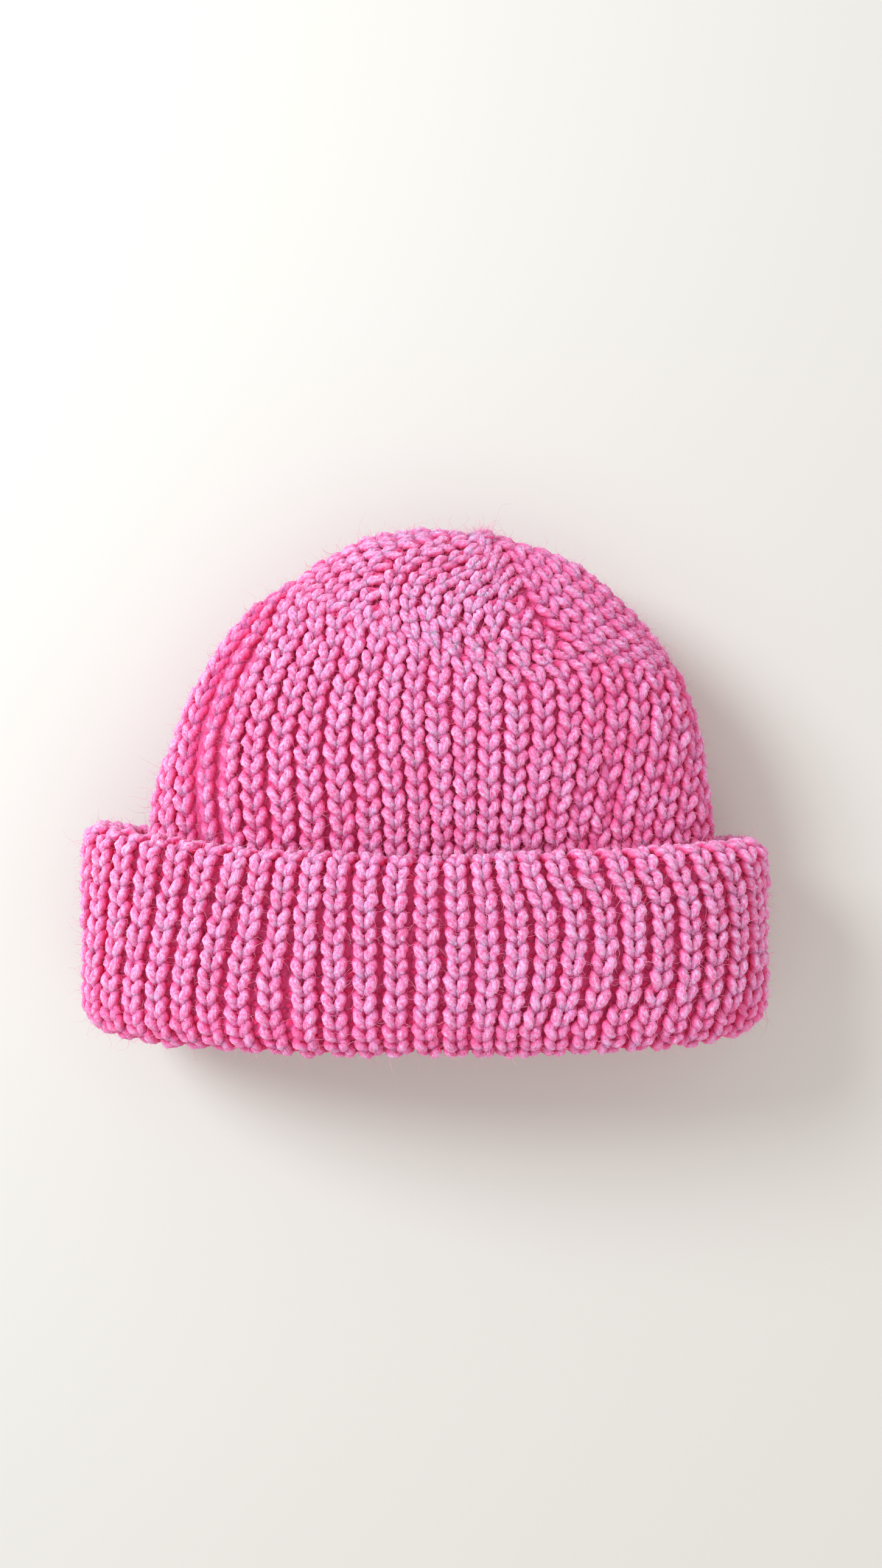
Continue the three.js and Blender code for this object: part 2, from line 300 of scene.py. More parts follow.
BRIM_RINGS = np.array([brim_ring(layer) for layer in range(3)])
DOME_LEVELS = 96
DOME_RINGS = np.array([
    dome_ring(math.cos(i / DOME_LEVELS * math.pi / 2)) for i in range(DOME_LEVELS + 1)
])
DOME_LENGTH = LENGTH + 0.4 - DOME_START - FABRIC / 2


def dome_points(turn, reach):
    """Points on the dome; reach is 1 at the brim's top edge and 0 at the dome's furthest point."""
    reach = np.minimum(reach, 1)
    xz = look_up(DOME_RINGS, reach * DOME_LEVELS, turn)
    y = BRIM_EDGE + DOME_START + DOME_LENGTH * np.cos(reach * math.pi / 2)
    return np.stack([xz[..., 0], y, xz[..., 1]], -1)


def fabric_on_dome(turn, reach):
    """The fabric's tip sits off the dome's furthest point; its columns swirl round it and spread on top."""
    swirl = SWIRL * np.sin(math.pi * np.clip(1 - reach / SWIRL_START, 0, 1))
    from_front = FULL_TURN * (turn - FIRST_LINE + 0.5 / WEDGES)
    spread = SPREAD * smooth(1.9 * (1 - reach)) * np.sin(from_front) / FULL_TURN
    angle = FULL_TURN * (turn + swirl + spread)
    pull = (1 - reach * reach) ** 2
    x = reach * np.cos(angle) + pull * TIP_SHIFT[0]
    y = reach * np.sin(angle) + pull * TIP_SHIFT[1]
    return dome_points(np.arctan2(y, x) / FULL_TURN, np.hypot(x, y))


def brim_points(layer, height):
    """The turned-up brim, for arrays of layers and heights, all the way round."""
    lower = np.clip(np.floor(layer), 0, 1).astype(int)
    xz = mix(BRIM_RINGS[lower], BRIM_RINGS[lower + 1], (layer - lower)[:, None, None])
    x, z = xz[..., 0], xz[..., 1]
    side = np.abs(2 * x / WIDTH) ** 2.4
    setback = UPPER_LIP_SETBACK * (z / THICKNESS) ** 1.5
    bottom = BRIM_EDGE + LAYER_STEP + FABRIC / 2 + BRIM_BOTTOM_BOW * side + setback
    bow = np.where(x < 0, BRIM_TOP_BOW[0], BRIM_TOP_BOW[1])
    top = BRIM_EDGE + BRIM_HEIGHT - LAYER_STEP / 2 - FABRIC / 2 + bow * side
    return np.stack([x, mix(bottom, top, height[:, None]), z], -1)


def stretch_points(name, t):
    """The middle surface of one stretch of the fabric, at shares t of the way along it."""
    if name == "cast_on_edge":
        angle = mix(CURL_ANGLE, 0, t)
        points = brim_points(1 + np.cos(angle), 0 * t)
        points[..., 1] -= LAYER_STEP * np.sin(angle)[:, None]
        return points
    if name == "brim_outer_layer":
        return brim_points(2 + 0 * t, t)
    if name == "brim_top_fold":
        points = brim_points(1.5 + 0.5 * np.cos(math.pi * t), 1 + 0 * t)
        points[..., 1] += LAYER_STEP / 2 * np.sin(math.pi * t)[:, None]
        return points
    if name == "brim_tucked_layer":
        return brim_points(1 + 0 * t, mix(1, INNER_RAISE, t))
    if name == "brim_bottom_fold":
        points = brim_points(0.5 + 0.5 * np.cos(math.pi * t), INNER_RAISE + 0 * t)
        points[..., 1] -= LAYER_STEP / 2 * np.sin(math.pi * t)[:, None]
        return points
    return inner_layer_points(t)


DOME_STEPS = 120


def dome_columns():
    """The middle of every column from the brim's top edge to the tip."""
    reach = 1 - np.arange(DOME_STEPS + 1) / DOME_STEPS
    return fabric_on_dome(TURN[None, :], reach[:, None])


def inner_layer_points(t):
    """The body's own layer inside the brim, from the bottom fold to where the dome begins."""
    start = brim_points(0 * t[:1], INNER_RAISE + 0 * t[:1])
    end = dome_columns()[:1]
    points = mix(start, end, smooth(t)[:, None, None])
    points[..., 1] = mix(start[..., 1], end[..., 1], t[:, None])
    return points


def lengths_along(path):
    """How far each point of every column is from the column's first point, along the column."""
    hops = np.linalg.norm(np.diff(path, axis=0), axis=2)
    return np.concatenate([np.zeros((1, path.shape[1])), np.cumsum(hops, axis=0)])


def rows_above_brim(lengths):
    """Longer columns show more rows, evened out so that neighbouring columns stay in step."""
    share = (lengths - lengths.min()) / np.ptp(lengths)
    off = (TURN[:, None] - TURN[None, :] + 0.5) % 1 - 0.5
    weight = np.exp(-(off / 0.06) ** 2)
    return mix(FEWEST_ROWS, MOST_ROWS, weight @ share / weight.sum(1))


DOME_LENGTHS = lengths_along(dome_columns())[-1]
ROWS_SHOWN = rows_above_brim(DOME_LENGTHS)
ROW_SPACING = DOME_LENGTHS / ROWS_SHOWN
BODY_ROWS = MOST_ROWS + 1
LAST_PLACE = BODY_ROWS - 0.02  # just short of the tip
HIDDEN = (BODY_ROWS - ROWS_SHOWN) * ROW_SPACING  # how far the body's rows reach down inside the brim


def body_grid():
    """The body with its rows evenly spaced from the tip; its first rows lie inside the brim."""
    inside = inner_layer_points(np.linspace(0, 1, 60))[:-1]
    path = np.concatenate([inside, dome_columns()])
    length = lengths_along(path)
    rows = np.arange(-LEAD_ROWS * PER_ROW, BODY_ROWS * PER_ROW + 1) / PER_ROW
    points = np.empty((len(rows), AROUND, 3))
    for column in range(AROUND):
        wanted = length[-1, column] - (BODY_ROWS - rows) * ROW_SPACING[column]
        for axis in range(3):
            points[:, column, axis] = np.interp(wanted, length[:, column], path[:, column, axis])
    return points


def brim_grid():
    """The brim's stretches one after another, each with its own number of rows."""
    pieces = []
    for name, rows in BRIM_ROWS.items():
        first = -LEAD_ROWS * PER_ROW if name == "cast_on_edge" else 0
        t = np.arange(first, rows * PER_ROW) / (rows * PER_ROW)
        pieces.append(stretch_points(name, t))
    pieces.append(stretch_points("brim_inner_layer", np.ones(1)))
    return np.concatenate(pieces)


def wobble(points, size, shortest, longest, waves=14):
    """A smooth seeded wander of the fabric, the same for all its layers."""
    moved = np.zeros_like(points)
    for _ in range(waves):
        direction = rng.normal(size=3)
        direction /= np.linalg.norm(direction)
        wave = direction * FULL_TURN / rng.uniform(shortest, longest)
        push = rng.normal(size=3)
        phase = rng.uniform(0, FULL_TURN)
        moved += push * np.sin(points @ wave + phase)[..., None]
    return moved * size / math.sqrt(waves / 2)


def with_normals(points, tip):
    """Adds outward normals to a grid of points; a closed tip gets one shared normal."""
    along = np.gradient(points, axis=0)
    across = np.roll(points, -1, 1) - np.roll(points, 1, 1)
    normal = np.cross(along, across)
    normal /= np.linalg.norm(normal, axis=2, keepdims=True) + 1e-9
    if tip:
        outward = normal[-3 * PER_ROW:-PER_ROW].mean((0, 1))
        normal[-PER_ROW // 2:] = outward / np.linalg.norm(outward)
    return np.concatenate([points, normal], 2)


BRIM_GRID = brim_grid()
BODY_GRID = body_grid()
both = wobble(np.concatenate([BRIM_GRID, BODY_GRID]), WANDER, *WANDER_LENGTHS)
BRIM = with_normals(BRIM_GRID + both[:len(BRIM_GRID)], False)
BODY = with_normals(BODY_GRID + both[len(BRIM_GRID):], True)

FIRST_ROW = {}
count = 0
for stretch, rows in BRIM_ROWS.items():
    FIRST_ROW[stretch] = count
    count += rows


def on_surface(part, turn, row):
    """Point and outward normal on the brim's or the body's grid, at turns and rows with fractions."""
    found = look_up(part, (row + LEAD_ROWS) * PER_ROW, turn)
    normal = found[..., 3:]
    return found[..., :3], normal / np.linalg.norm(normal, axis=-1, keepdims=True)


# ---------------------------------------------------------------- stitches


EVEN_COLUMNS = (np.arange(RIBS) + 0.5) / RIBS
RIBS_PER_WEDGE = RIBS // WEDGES


def crown_columns():
    """The turns of the knit columns of every crown row, and how far each moves from row to row.

    Each wedge's columns run side by side along its left line and end one by one on its right line.
    """
    share = (np.arange(RIBS_PER_WEDGE) + 0.5) / RIBS_PER_WEDGE
    samples = np.linspace(0, 1, 49)
    crown = []
    for wedge in range(WEDGES):
        left_line = FIRST_LINE + (wedge + 1) / WEDGES
        rows = [left_line - share / WEDGES]
        for row in range(BODY_ROWS - CROWN_ROWS, BODY_ROWS):
            turns = left_line - samples / WEDGES
            points, _ = on_surface(BODY, turns, np.full(len(turns), row + 0.5))
            hops = np.linalg.norm(np.diff(points, axis=0), axis=1)
            length = np.concatenate([[0], np.cumsum(hops)])
            into_crown = (row - BODY_ROWS + CROWN_ROWS) / CROWN_ROWS
            if into_crown == 0:
                widest = length[-1] / RIBS_PER_WEDGE
            column = mix(widest, COLUMN, into_crown)
            gap = BITES[wedge] * smooth(4 * into_crown)
            count = len(rows[-1])
            count = np.clip(round(length[-1] / column - gap), max(count - 1, 1), count)
            column = min(column, length[-1] / (count + gap))
            places = (np.arange(count) + 0.5) * column
            rows.append(np.interp(places, length, turns))
        crown.append(rows)
    found = []
    for row in range(1, CROWN_ROWS + 1):
        columns, moves = [], []
        for rows in crown:
            here = rows[row]
            count = len(here)
            ahead = rows[min(row + 1, CROWN_ROWS)]
            move = here - rows[row - 1][:count]
            move[:len(ahead)] = (move + np.resize(ahead, count) - here)[:len(ahead)] / 2
            columns.append(here)
            moves.append(move)
        columns = np.concatenate(columns) % 1
        order = columns.argsort()
        found.append((columns[order], np.concatenate(moves)[order]))
    return found


CROWN_COLUMNS = crown_columns()


def knit_columns(part, row):
    """The turns of a row's knit columns, and how far they move from this row to the next."""
    into_crown = row - (BODY_ROWS - CROWN_ROWS)
    if part is BODY and into_crown >= 0:
        return CROWN_COLUMNS[into_crown]
    return EVEN_COLUMNS, 0 * EVEN_COLUMNS


def groove_turn():
    """The turn of the purl column nearest to the body's deep left valley."""
    purl = EVEN_COLUMNS + 0.5 / RIBS
    grid = BODY[:, (purl * AROUND).astype(int) % AROUND]
    above = grid[..., 2] > MIDDLES[0]
    off = np.hypot(grid[..., 0] - GROOVE_X, grid[..., 1] - GROOVE_Y) + 1000 * ~above
    return purl[off.min(0).argmin()]


GROOVE = groove_turn()


def between(turn, first, last, soft):
    """One between two turns and zero outside, with soft ends."""
    return smooth((turn - first) / soft + 0.5) * smooth((last - turn) / soft + 0.5)


def stitch_style(part, turn, row):
    """How stitches lie: deep ribs on the brim, closed ribs on the body, flatter on its right."""
    body = float(part is BODY) + 0 * turn
    edge = 0.0 if part is BODY else smooth((EDGE_ROWS - row) / 2)
    crown = body * smooth((row - BODY_ROWS + CROWN_ROWS + 1) / 3)
    front = crown * between(turn, *CROWN_FRONT)
    right = between(turn, *BODY_RIGHT)
    flat = body * mix(0.15, 1, right)
    return {
        "leg": 0.186 + 0.012 * body + 0.02 * flat + 0.03 * edge - 0.02 * front,
        "slant": 0.13 + 0.03 * body + 0.01 * flat,
        "depth": 1.0 - 0.12 * body - 0.2 * flat - 0.25 * edge,
        "sink": 0.80 - 0.30 * flat - 0.5 * edge + 0.5 * front,
        "rise": 0.64 - 0.01 * body,
        "radius": 1.62 + 0.02 * body - 0.1 * crown,
    }


def lean(part, turn, place):
    """How far the stitches sit to the left of their column, as a share of a full turn."""
    if part is BODY:
        down = 1 - smooth((place - BODY_ROWS + 26) / 13)
        return BODY_LEAN_LEFT * down * between(turn, *BODY_LEANS_LEFT)
    up = np.clip((place - FIRST_ROW["brim_outer_layer"]) / BRIM_ROWS["brim_outer_layer"], 0, 1)
    fades = smooth((FIRST_ROW["brim_bottom_fold"] - place) / BRIM_ROWS["brim_tucked_layer"])
    left = BRIM_LEAN_LEFT * between(turn, *BRIM_LEANS_LEFT)
    right = BRIM_LEAN_RIGHT * between(turn, *BRIM_LEANS_RIGHT)
    bow = np.abs(2 * up - 1) ** 2.5
    return (right * bow - left * (up + 0.35 * (1 - up) ** 3 - 0.6)) * fades


def loop_steps(count):
    """Steps along one loop, closer together on its legs than on its ends."""
    even = np.arange(count) / count
    return FULL_TURN * (even - LEG_STEPS * np.sin(4 * math.pi * even))


def skew(part, turn, row):
    """Rows that the fabric rises by for each turn, where its rows do not cross its columns squarely."""
    step = 0.004
    here = np.full(len(turn), row + 0.5)
    across = on_surface(part, turn + step, here)[0] - on_surface(part, turn - step, here)[0]
    top = np.minimum(here + 0.5, LAST_PLACE if part is BODY else here + 0.5)
    along = on_surface(part, turn, top)[0] - on_surface(part, turn, top - 1)[0]
    return (across * along).sum(1) / (along * along).sum(1) / (2 * step)


def course(part, row, knit_steps, purl_steps):
    """The yarn of one row, all the way round, as centre points with what the tube needs."""
    knit, knit_moves = knit_columns(part, row)
    columns = len(knit)
    purl = (knit + ((np.roll(knit, -1) - knit) % 1) / 2) % 1
    purl_moves = (knit_moves + np.roll(knit_moves, -1)) / 2
    order = np.argsort(np.concatenate([knit, purl]))
    centres = np.concatenate([knit, purl])[order]
    moves = np.concatenate([knit_moves, purl_moves])[order]
    sign = np.where(order < columns, 1.0, -1.0)
    before = centres - (centres - np.roll(centres, 1)) % 1
    after = centres + (np.roll(centres, -1) - centres) % 1

    steps = {1.0: loop_steps(knit_steps), -1.0: loop_steps(purl_steps)}
    wale = np.concatenate([np.full(len(steps[s]), i) for i, s in enumerate(sign)])
    t = np.concatenate([steps[s] for s in sign])
    side = sign[wale]
    style = {key: value[wale] for key, value in stitch_style(part, centres, row).items()}

    held = (1 - np.cos(t)) / 2
    loops = len(centres)
    drift = rng.normal(0, DRIFT, loops)[wale] * held
    lift = rng.normal(0, LIFT, loops)[wale] * held
    proud = rng.normal(0, PROUD, loops)[wale] * held
    one_leg = rng.normal(0, ONE_LEG, loops)[wale] * np.sin(t)
    plump = 1 + rng.normal(0, PLUMP, loops)[wale] * held

    pitch = (after - before)[wale]
    start = ((before + centres) / 2)[wale]
    end = ((after + centres) / 2)[wale]
    turn = mix(start, end, t / FULL_TURN)
    turn += pitch * (style["slant"] * np.sin(2 * t) - (style["leg"] - 0.125) * np.sin(t) + drift)
    place = row + 0.5 - style["rise"] * np.cos(t) + lift
    place -= (turn - centres[wale]) * skew(part, centres, row)[wale] * np.sin(t / 2)
    turn += moves[wale] * (place - row - 0.5)
    turn += lean(part, turn % 1, place)
    depth = side * (style["depth"] * (1 - np.cos(2 * t)) + style["sink"] * held + proud + one_leg)
    if part is BODY:
        place = np.minimum(place, LAST_PLACE)
        unleaned = turn - lean(part, turn % 1, place)
        # the valley fades out over a few rows below the tip
        open_here = smooth((BODY_ROWS - 5 - place) / 7)
        for number, deep in enumerate(GROOVE_DEPTHS):
            off = (unleaned - GROOVE + number / RIBS + 0.5) % 1 - 0.5
            depth -= deep * open_here * np.exp(-(off / GROOVE_REACH) ** 2)
            turn += np.sign(off) * GROOVE_PULL * open_here * np.exp(-(off / GROOVE_PULL_REACH) ** 2)
    middle, normal = on_surface(part, turn, place)
    centre = middle + normal * depth[:, None]
    hops = np.linalg.norm(np.diff(centre, axis=0), axis=1)
    return {
        "centre": centre,
        "normal": normal,
        "middle": middle,
        "radius": style["radius"] * plump * (THIN_END + FULL_LEG * np.sin(t) ** 2),
        # open: painted shade at a loop's ends, where it goes under the next one
        "open": mix(END_SHADE, 1, smooth(1.1 * np.sin(t) ** 2)),
        "length": np.concatenate([[0], np.cumsum(hops)]),
        "turn": centres[wale] % 1,
    }


def stretch_of(path, chosen):
    """The part of a closed path whose points are chosen, in order, with one point past its end."""
    count = len(chosen)
    first = next(i for i in range(count) if chosen[i] and not chosen[i - 1])
    places = (first + np.arange(chosen.sum() + 1)) % count
    return {key: value[places] for key, value in path.items()}


def tube(path, sides, closed):
    """A yarn swept along a path: its vertices ring by ring, and values for the material."""
    centre = path["centre"]
    if closed:
        ahead, behind = np.roll(centre, -1, 0), np.roll(centre, 1, 0)
    else:
        ahead = np.concatenate([centre[1:], centre[-1:]])
        behind = np.concatenate([centre[:1], centre[:-1]])
    tangent = ahead - behind
    tangent /= np.linalg.norm(tangent, axis=1, keepdims=True)
    out = path["normal"] - (path["normal"] * tangent).sum(1, keepdims=True) * tangent
    out /= np.linalg.norm(out, axis=1, keepdims=True)
    beside = np.cross(tangent, out)

    corner = np.arange(sides) * FULL_TURN / sides
    turns = path["length"] / PLY_TURN
    if closed:
        turns = turns * round(turns[-1]) / turns[-1]
    plied = sides == SIDES
    around = corner[None, :] - (FULL_TURN * turns[:, None] if plied else 0)
    shape = np.tile(PLY_SHAPE, PLIES) if plied else np.ones(sides)
    lumps = np.zeros((len(centre), sides))
    for lump_length in LUMP_LENGTHS:
        waves = FULL_TURN * path["length"][:, None] / lump_length + rng.uniform(0, FULL_TURN)
        lumps += np.sin(waves + corner * rng.integers(1, 3)) * LUMP / 3
    radius = path["radius"][:, None] * (shape + lumps)
    points = (
        centre[:, None]
        + out[:, None] * (np.cos(around) * radius)[..., None]
        + beside[:, None] * (np.sin(around) * radius)[..., None]
    )
    away = ((points - path["middle"][:, None]) * path["normal"][:, None]).sum(2)
    # facing: a yarn's sides, turned away from the outside, get painted shade
    facing = smooth(0.35 + 0.75 * np.cos(around) * np.sign(away))
    points[..., 2] = np.maximum(points[..., 2], FLOOR_GAP)
    along = path["length"][:, None] + rng.uniform(0, 1000)
    streak = np.stack([
        np.broadcast_to(along, away.shape),
        np.broadcast_to(STREAK_RADIUS * np.cos(around + STREAK_TWIST * along), away.shape),
        np.broadcast_to(STREAK_RADIUS * np.sin(around + STREAK_TWIST * along), away.shape),
    ], 2)
    # crest drives painted shade and painted highlights: low deep in the fabric, on a yarn's sides and at a
    # loop's ends, high on exposed tops
    crest = np.abs(away) / TOP * mix(SIDE_SHADE, 1, facing) * path["open"][:, None]
    return points, {"crest": crest, "streak": streak}


def tube_faces(rings, sides, closed, first):
    """Quads between the rings, as vertex numbers."""
    last = rings if closed else rings - 1
    i, j = np.meshgrid(np.arange(last), np.arange(sides), indexing="ij")
    nearer = first + i * sides
    further = first + (i + 1) % rings * sides
    k = (j + 1) % sides
    return np.stack([nearer + j, further + j, further + k, nearer + k], -1).reshape(-1, 4)


def cap_faces(sides, rings, first):
    """Quads that close both ends of an open tube with an even number of sides."""
    faces = []
    for start, step in ((first, -1), (first + (rings - 1) * sides, 1)):
        rim = start + np.arange(sides)[::step]
        faces += [[rim[k], rim[k + 1], rim[-2 - k], rim[-1 - k]] for k in range(sides // 2 - 1)]
    return np.array(faces)


def yarn_piece(name, paths, sides, closed, root_share=ROOT_SHARE):
    """One object made of many tubes, with its own unwrapped strips."""
    vertices, faces, caps, values = [], [], [], {"crest": [], "streak": []}
    count = 0
    for path in paths:
        points, extra = tube(path, sides, closed)
        rings = len(points)
        faces.append(tube_faces(rings, sides, closed, count))
        if not closed:
            caps.append(cap_faces(sides, rings, count))
        count += rings * sides
        vertices.append(points.reshape(-1, 3))
        for key, value in extra.items():
            values[key].append(value.reshape(rings * sides, -1))
        root_fuzz(path, points, extra["crest"], root_share)
    return finish_mesh(name, vertices, faces + caps, values, sides, WOOL)


def finish_mesh(name, vertices, faces, values, sides, material):
    """Makes the object, with its values for the material, on the hat's one body."""
    mesh = bpy.data.meshes.new(name)
    vertices = np.concatenate(vertices) * MM
    faces = np.concatenate(faces)
    mesh.vertices.add(len(vertices))
    mesh.vertices.foreach_set("co", vertices.astype(np.float32).ravel())
    mesh.loops.add(faces.size)
    mesh.loops.foreach_set("vertex_index", faces.astype(np.int32).ravel())
    mesh.polygons.add(len(faces))
    mesh.polygons.foreach_set("loop_start", np.arange(len(faces), dtype=np.int32) * 4)
    mesh.update(calc_edges=True)
    mesh.shade_smooth()
    for key in values:
        data = np.concatenate(values[key]).astype(np.float32)
        kind = "FLOAT_VECTOR" if data.shape[1] == 3 else "FLOAT"
        layer = mesh.attributes.new(key, kind, "POINT")
        layer.data.foreach_set("vector" if kind == "FLOAT_VECTOR" else "value", data.ravel())
    unwrap(mesh, len(faces), sides)
    piece = bpy.data.objects.new(name, mesh)
    bpy.context.scene.collection.objects.link(piece)
    mesh.materials.append(material)
    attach(piece, "root")
    return piece


def unwrap(mesh, count, sides):
    """Lays the tubes out as side-by-side strips, so that the baked maps need no automatic unwrap."""
    rings = math.ceil(count / sides)
    strips = max(1, round(math.sqrt(rings / sides)))
    per_strip = math.ceil(rings / strips)
    number = np.arange(count)
    ring_number, side = number // sides, number % sides
    strip, place = ring_number // per_strip, ring_number % per_strip
    margin = 0.06
    u = np.stack([place, place + 1, place + 1, place], 1) / per_strip
    v = np.stack([side, side, side + 1, side + 1], 1) / sides
    v = (strip[:, None] + margin + (1 - 2 * margin) * v) / strips
    layer = mesh.uv_layers.new(name="OFBake")
    layer.data.foreach_set("uv", np.stack([u, v], 2).astype(np.float32).ravel())


# ---------------------------------------------------------------- fuzz

ROOTS = []


def root_fuzz(path, points, crest, share):
    """Remembers a few places on the outside of a yarn where loose fibres start."""
    high = np.argwhere((crest > EXPOSED) & (points[..., 2] > LOWEST_ROOT))
    chosen = high[rng.random(len(high)) < share]
    if len(chosen):
        ring_number, corner = chosen.T
        start = points[ring_number, corner]
        out = start - path["centre"][ring_number]
        out /= np.linalg.norm(out, axis=1, keepdims=True)
        ROOTS.append(np.concatenate([start, out], 1))


def fuzz_piece(name, roots, material):
    """Loose fibres: thin, tapered, curling three-sided tubes that stand off the yarn."""
    count = len(roots)
    start, out = roots[:, :3], roots[:, 3:]
    length = rng.gamma(*FIBRE_LENGTH, count)[:, None]
    heading = out + rng.normal(0, FIBRE_SPLAY, (count, 3))
    heading /= np.linalg.norm(heading, axis=1, keepdims=True)
    bend = rng.normal(0, 1, (count, 3))
    curl = np.cross(heading, bend)
    curl /= np.linalg.norm(curl, axis=1, keepdims=True)
    other = np.cross(heading, curl)
    steps = np.linspace(0, 1, 4)
    forth, across = FIBRE_WAVES
    phase = rng.uniform(0, FULL_TURN, count)[:, None]
    curliness = rng.uniform(*FIBRE_CURL, count)[:, None]
    spine = np.stack([
        start - ROOT_DEPTH * out
        + heading * length * step
        + curl * length * curliness * (np.sin(forth * step + phase) - np.sin(phase))
        + other * length * curliness * (np.cos(across * step + phase) - np.cos(phase))
        for step in steps
    ], 1)
    width = FIBRE_RADIUS * (1 - FIBRE_TAPER * steps)
    rings = np.stack([
        spine + (curl * math.cos(a) + other * math.sin(a))[:, None] * width[None, :, None]
        for a in (0, FULL_TURN / 3, 2 * FULL_TURN / 3)
    ], 2)
    rings[..., 2] = np.maximum(rings[..., 2], FLOOR_GAP)
    first = (np.arange(count) * len(steps) * 3)[:, None, None]
    i, j = np.meshgrid(np.arange(len(steps) - 1), np.arange(3), indexing="ij")
    k = (j + 1) % 3
    quad = np.stack([i * 3 + j, i * 3 + k, (i + 1) * 3 + k, (i + 1) * 3 + j], -1).reshape(1, -1, 4)
    faces = (first + quad).reshape(-1, 4)
    return finish_mesh(name, [rings.reshape(-1, 3)], [faces], {}, 3, material)


# ---------------------------------------------------------------- wool


def node(tree, kind, **settings):
    made = tree.nodes.new(kind)
    for key, value in settings.items():
        setattr(made, key, value)
    return made


def colour_ramp(tree, stops):
    """A colour ramp node with the given positions and colours."""
    ramp = node(tree, "ShaderNodeValToRGB")
    elements = ramp.color_ramp.elements
    while len(elements) < len(stops):
        elements.new(0.5)
    for element, (position, colour) in zip(elements, stops):
        element.position = position
        element.color = (*colour, 1)
    return ramp


def noise(tree, vector, scale, detail, roughness=0.5):
    made = node(tree, "ShaderNodeTexNoise")
    made.inputs["Scale"].default_value = scale
    made.inputs["Detail"].default_value = detail
    made.inputs["Roughness"].default_value = roughness
    tree.links.new(vector, made.inputs["Vector"])
    return made.outputs["Fac"]


def stretched(tree, vector, scale):
    mapping = node(tree, "ShaderNodeMapping")
    mapping.inputs["Scale"].default_value = scale
    tree.links.new(vector, mapping.inputs["Vector"])
    return mapping.outputs["Vector"]


def blend(tree, factor, a, b):
    """Mixes colour or link a towards colour or link b."""
    mixer = node(tree, "ShaderNodeMix", data_type="RGBA", blend_type="MIX")
    tree.links.new(factor, mixer.inputs["Factor"])
    for value, socket in ((a, mixer.inputs["A"]), (b, mixer.inputs["B"])):
        if isinstance(value, tuple):
            socket.default_value = (*value, 1)
        else:
            tree.links.new(value, socket)
    return mixer.outputs["Result"]


def share_of(tree, value, low, high, most):
    """Zero where the value is below low, rising to most where it is above high."""
    ranged = node(tree, "ShaderNodeMapRange")
    ranged.inputs["From Min"].default_value = low
    ranged.inputs["From Max"].default_value = high
    ranged.inputs["To Max"].default_value = most
    tree.links.new(value, ranged.inputs["Value"])
    return ranged.outputs["Result"]


def product(tree, a, b):
    made = node(tree, "ShaderNodeMath", operation="MULTIPLY")
    tree.links.new(a, made.inputs[0])
    tree.links.new(b, made.inputs[1])
    return made.outputs["Value"]


def wool(name, valley, middle, crest, highlight_colour, deep):
    """Pink wool: painted shade in deep rose between the stitches, pink on them, with paler and deeper
    fibres and painted highlights on their crests.
    """
    material = bpy.data.materials.new(name)
    material.use_nodes = True
    tree = material.node_tree
    shader = tree.nodes["Principled BSDF"]
    shader.inputs["Roughness"].default_value = 0.6
    shader.inputs["Specular IOR Level"].default_value = 0.15
    shader.inputs["Sheen Weight"].default_value = 0.12
    shader.inputs["Sheen Roughness"].default_value = 0.4
    shader.inputs["Sheen Tint"].default_value = (1.0, 0.55, 0.85, 1)

    shader.inputs["Subsurface Weight"].default_value = 0.6
    shader.inputs["Subsurface Radius"].default_value = (1.0, 0.22, 0.35)
    shader.inputs["Subsurface Scale"].default_value = 0.004

    height = node(tree, "ShaderNodeAttribute", attribute_name="crest").outputs["Fac"]
    # the ramp paints shade: deep rose low in the fabric and on shaded sides, rising to pink on the crests
    ramp = colour_ramp(tree, ((0.1, valley), (0.42, middle), (0.85, crest)))
    tree.links.new(height, ramp.inputs["Fac"])

    along = node(tree, "ShaderNodeAttribute", attribute_name="streak").outputs["Vector"]
    place = node(tree, "ShaderNodeTexCoord").outputs["Object"]
    strands = noise(tree, stretched(tree, along, (0.45, 1.9, 1.9)), 1.0, 3, 0.65)
    hairs = noise(tree, stretched(tree, along, (0.8, 5.5, 5.5)), 1.0, 2)
    clouds = noise(tree, place, 60, 3)
    mottles = noise(tree, place, 850, 3, 0.6)

    colour = blend(tree, share_of(tree, clouds, 0.45, 0.75, 0.35), ramp.outputs["Color"], deep)
    colour = blend(tree, share_of(tree, strands, 0.46, 0.30, 0.65), colour, deep)
    colour = blend(tree, share_of(tree, mottles, 0.50, 0.36, 0.5), colour, deep)
    # painted highlights: pale lilac fibres only on exposed crests, where light falls; the streaks
    # themselves are the fibres' own paler tone
    highlit_crests = share_of(tree, height, 0.55, 0.88, 1.0)
    highlit_crests = product(tree, highlit_crests, share_of(tree, mottles, 0.38, 0.58, 1.0))
    pale = product(tree, share_of(tree, strands, 0.42, 0.68, 0.8), highlit_crests)
    colour = blend(tree, pale, colour, highlight_colour)
    pale = product(tree, share_of(tree, hairs, 0.50, 0.68, 0.5), highlit_crests)
    colour = blend(tree, pale, colour, highlight_colour)
    tree.links.new(colour, shader.inputs["Base Color"])

    relief = node(tree, "ShaderNodeMath", operation="ADD")
    tree.links.new(strands, relief.inputs[0])
    tree.links.new(product(tree, hairs, share_of(tree, mottles, 0.3, 0.7, 1.6)), relief.inputs[1])
    bump = node(tree, "ShaderNodeBump")
    bump.inputs["Strength"].default_value = 0.9
    bump.inputs["Distance"].default_value = 0.0005
    tree.links.new(relief.outputs["Value"], bump.inputs["Height"])
    tree.links.new(bump.outputs["Normal"], shader.inputs["Normal"])
    return material


